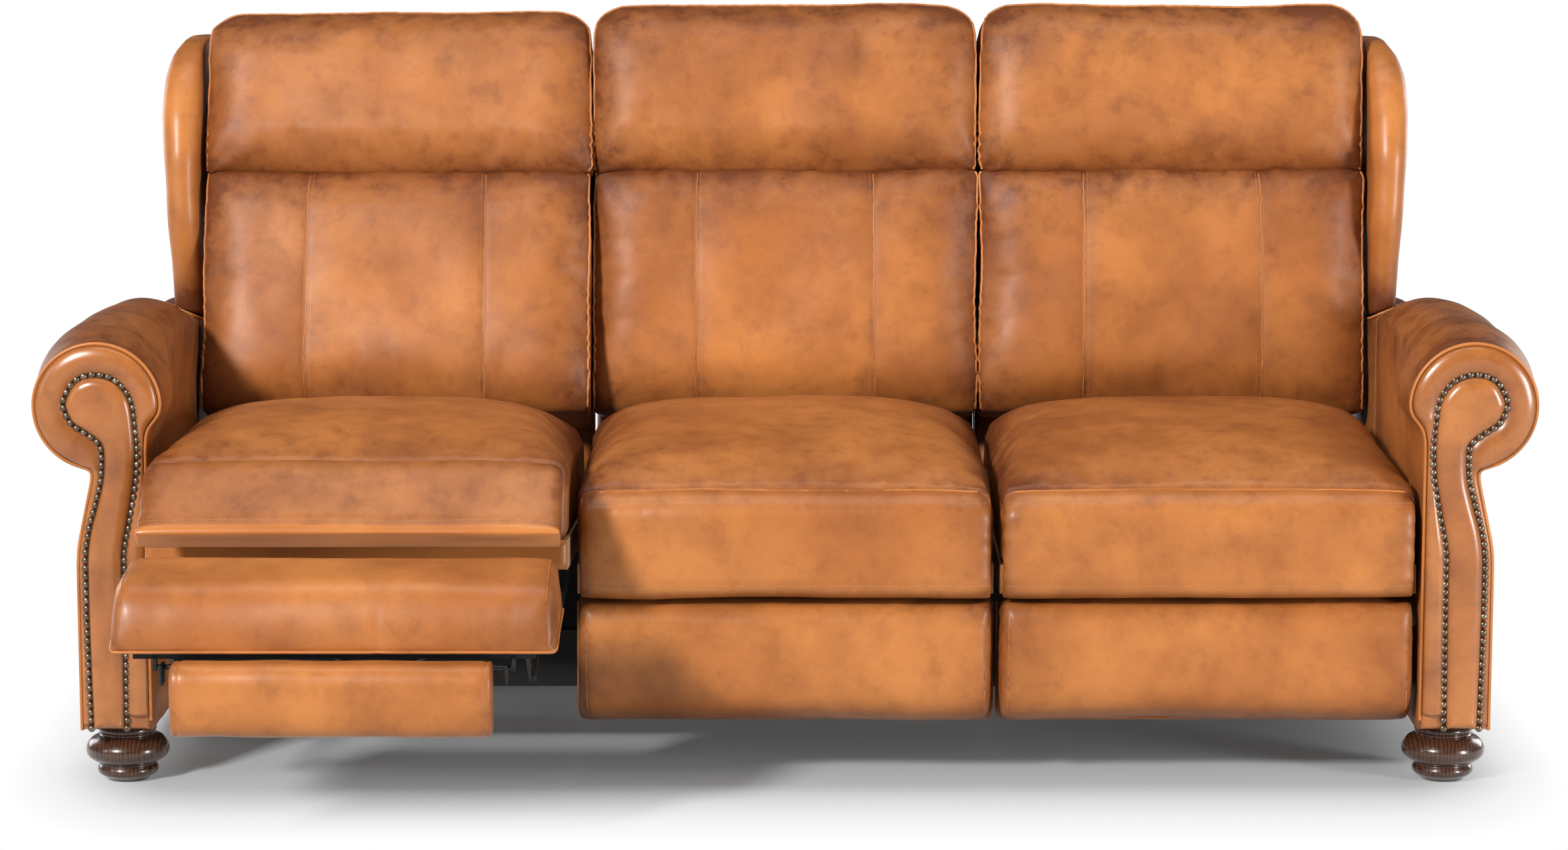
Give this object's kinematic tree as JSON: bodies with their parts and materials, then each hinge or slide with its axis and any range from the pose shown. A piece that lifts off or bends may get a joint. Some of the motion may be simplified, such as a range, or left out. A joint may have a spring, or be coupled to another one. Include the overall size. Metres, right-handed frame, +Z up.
{
  "type": "reclining sofa",
  "caption": "Leather reclining sofa with rolled arms, wings and bun feet; each outer seat has a power footrest, a tilting seat and a reclining back.",
  "frame": {"origin": "middle of the box round the sofa in its rest pose, on the floor", "axes": "+X to the viewer's right along the sofa, +Y to its rear, +Z up; the sofa faces -Y"},
  "size_m": [2.2176, 1.4722, 1.1187],
  "materials": {
    "leather": "satin",
    "nails": "satin",
    "walnut": "gloss",
    "steel": "satin",
    "timber": "matte",
    "board": "matte",
    "black_paint": "matte",
    "plastic": "satin"
  },
  "bodies": {
    "base": {"front_rail": "black_paint", "rear_rail": "black_paint", "slide_track_left": "steel", "slide_track_right": "steel", "drive_motor_left": "plastic", "drive_motor_right": "plastic", "center_support_left": "timber", "center_support_right": "timber", "seat_deck_center": "timber", "seat_cushion_center": "leather", "seat_boxing_center": "leather", "footrest_pad_center": "leather", "back_frame_center": "leather", "lumbar_cushion_center": "leather", "headrest_cushion_center": "leather", "arm_body_left": "leather", "arm_facing_left": "leather", "nail_trim_left": "nails", "wing_left": "leather", "switch_plate_left": "plastic", "front_foot_left": "walnut", "rear_foot_left": "walnut", "arm_body_right": "leather", "arm_facing_right": "leather", "nail_trim_right": "nails", "wing_right": "leather", "switch_plate_right": "plastic", "front_foot_right": "walnut", "rear_foot_right": "walnut"},
    "carriage_left": {"carriage_left": "steel", "drive_block_left": "plastic"},
    "seat_left": {"seat_deck_left": "timber", "seat_cushion_left": "leather"},
    "boxing_left": {"seat_boxing_left": "leather"},
    "lower_link_left": {"footrest_link_lower_left": "steel"},
    "upper_link_left": {"footrest_link_upper_left": "steel"},
    "footrest_left": {"footrest_pad_left": "leather", "footrest_board_left": "board", "footrest_cable_left": "plastic"},
    "flipper_left": {"flipper_left": "leather"},
    "back_left": {"back_frame_left": "leather", "lumbar_cushion_left": "leather", "headrest_cushion_left": "leather"},
    "button_out_left": {"button_out_left": "plastic"},
    "button_in_left": {"button_in_left": "plastic"},
    "carriage_right": {"carriage_right": "steel", "drive_block_right": "plastic"},
    "seat_right": {"seat_deck_right": "timber", "seat_cushion_right": "leather"},
    "boxing_right": {"seat_boxing_right": "leather"},
    "lower_link_right": {"footrest_link_lower_right": "steel"},
    "upper_link_right": {"footrest_link_upper_right": "steel"},
    "footrest_right": {"footrest_pad_right": "leather", "footrest_board_right": "board"},
    "flipper_right": {"flipper_right": "leather"},
    "back_right": {"back_frame_right": "leather", "lumbar_cushion_right": "leather", "headrest_cushion_right": "leather"},
    "button_out_right": {"button_out_right": "plastic"},
    "button_in_right": {"button_in_right": "plastic"}
  },
  "joints": [
    {"name": "carriage_slide_left", "type": "slide", "parent": "base", "child": "carriage_left", "axis": [0, -1, 0], "range_m": [-0.1, 0]},
    {"name": "seat_tilt_left", "type": "hinge", "parent": "carriage_left", "child": "seat_left", "pos_m": [-0.626, 0.23973, 0.3], "axis": [-1, 0, 0], "range_deg": [-5.6, 0.1]},
    {"name": "boxing_swing_left", "type": "hinge", "parent": "seat_left", "child": "boxing_left", "pos_m": [-0.626, -0.31768, 0.50306], "axis": [-1, 0, 0], "range_deg": [-45.2, 0.1]},
    {"name": "lower_link_turn_left", "type": "hinge", "parent": "carriage_left", "child": "lower_link_left", "pos_m": [-0.626, -0.22127, 0.2615], "axis": [-1, 0, 0], "range_deg": [-63.7, 0.1]},
    {"name": "knee_turn_left", "type": "hinge", "parent": "lower_link_left", "child": "upper_link_left", "pos_m": [-0.626, -0.37049, 0.19841], "axis": [-1, 0, 0], "range_deg": [-0.1, 117.5]},
    {"name": "footrest_turn_left", "type": "hinge", "parent": "upper_link_left", "child": "footrest_left", "pos_m": [-0.626, -0.50683, 0.2859], "axis": [-1, 0, 0], "range_deg": [-139, 0.1]},
    {"name": "flipper_turn_left", "type": "hinge", "parent": "footrest_left", "child": "flipper_left", "pos_m": [-0.626, -0.66124, 0.27239], "axis": [-1, 0, 0], "range_deg": [-95.2, 0.1]},
    {"name": "back_recline_left", "type": "hinge", "parent": "carriage_left", "child": "back_left", "pos_m": [-0.6215, 0.37973, 0.33], "axis": [-1, 0, 0], "range_deg": [-8.7, 20]},
    {"name": "button_out_press_left", "type": "slide", "parent": "base", "child": "button_out_left", "axis": [1, 0, 0], "range_m": [0, 0.002], "stiffness_N_per_m": 600, "springref_m": -0.0005},
    {"name": "button_in_press_left", "type": "slide", "parent": "base", "child": "button_in_left", "axis": [1, 0, 0], "range_m": [0, 0.002], "stiffness_N_per_m": 600, "springref_m": -0.0005},
    {"name": "carriage_slide_right", "type": "slide", "parent": "base", "child": "carriage_right", "axis": [0, -1, 0], "range_m": [0, 0.1]},
    {"name": "seat_tilt_right", "type": "hinge", "parent": "carriage_right", "child": "seat_right", "pos_m": [0.626, 0.33973, 0.3], "axis": [-1, 0, 0], "range_deg": [-0.1, 5.6]},
    {"name": "boxing_swing_right", "type": "hinge", "parent": "seat_right", "child": "boxing_right", "pos_m": [0.626, -0.23457, 0.4487], "axis": [-1, 0, 0], "range_deg": [-0.1, 45.2]},
    {"name": "lower_link_turn_right", "type": "hinge", "parent": "carriage_right", "child": "lower_link_right", "pos_m": [0.626, -0.12127, 0.2615], "axis": [-1, 0, 0], "range_deg": [-0.1, 63.7]},
    {"name": "knee_turn_right", "type": "hinge", "parent": "lower_link_right", "child": "upper_link_right", "pos_m": [0.626, -0.13127, 0.09981], "axis": [-1, 0, 0], "range_deg": [-117.5, 0.1]},
    {"name": "footrest_turn_right", "type": "hinge", "parent": "upper_link_right", "child": "footrest_right", "pos_m": [0.626, -0.14127, 0.2615], "axis": [-1, 0, 0], "range_deg": [-0.1, 139]},
    {"name": "flipper_turn_right", "type": "hinge", "parent": "footrest_right", "child": "flipper_right", "pos_m": [0.626, -0.14127, 0.1065], "axis": [-1, 0, 0], "range_deg": [-0.1, 95.2]},
    {"name": "back_recline_right", "type": "hinge", "parent": "carriage_right", "child": "back_right", "pos_m": [0.6215, 0.47973, 0.33], "axis": [-1, 0, 0], "range_deg": [0, 28.7]},
    {"name": "button_out_press_right", "type": "slide", "parent": "base", "child": "button_out_right", "axis": [-1, 0, 0], "range_m": [0, 0.002], "stiffness_N_per_m": 600, "springref_m": -0.0005},
    {"name": "button_in_press_right", "type": "slide", "parent": "base", "child": "button_in_right", "axis": [-1, 0, 0], "range_m": [0, 0.002], "stiffness_N_per_m": 600, "springref_m": -0.0005}
  ],
  "couplings": [
    {"joint": "seat_tilt_left", "follows": "carriage_slide_left", "rad_per_m": 0.95993},
    {"joint": "boxing_swing_left", "follows": "carriage_slide_left", "rad_per_m": 7.854},
    {"joint": "lower_link_turn_left", "follows": "carriage_slide_left", "rad_per_m": 11.09},
    {"joint": "knee_turn_left", "follows": "carriage_slide_left", "rad_per_m": -20.476},
    {"joint": "footrest_turn_left", "follows": "carriage_slide_left", "rad_per_m": 24.221},
    {"joint": "flipper_turn_left", "follows": "carriage_slide_left", "rad_per_m": 16.581},
    {"joint": "seat_tilt_right", "follows": "carriage_slide_right", "rad_per_m": 0.95993},
    {"joint": "boxing_swing_right", "follows": "carriage_slide_right", "rad_per_m": 7.854},
    {"joint": "lower_link_turn_right", "follows": "carriage_slide_right", "rad_per_m": 11.09},
    {"joint": "knee_turn_right", "follows": "carriage_slide_right", "rad_per_m": -20.476},
    {"joint": "footrest_turn_right", "follows": "carriage_slide_right", "rad_per_m": 24.221},
    {"joint": "flipper_turn_right", "follows": "carriage_slide_right", "rad_per_m": 16.581}
  ]
}
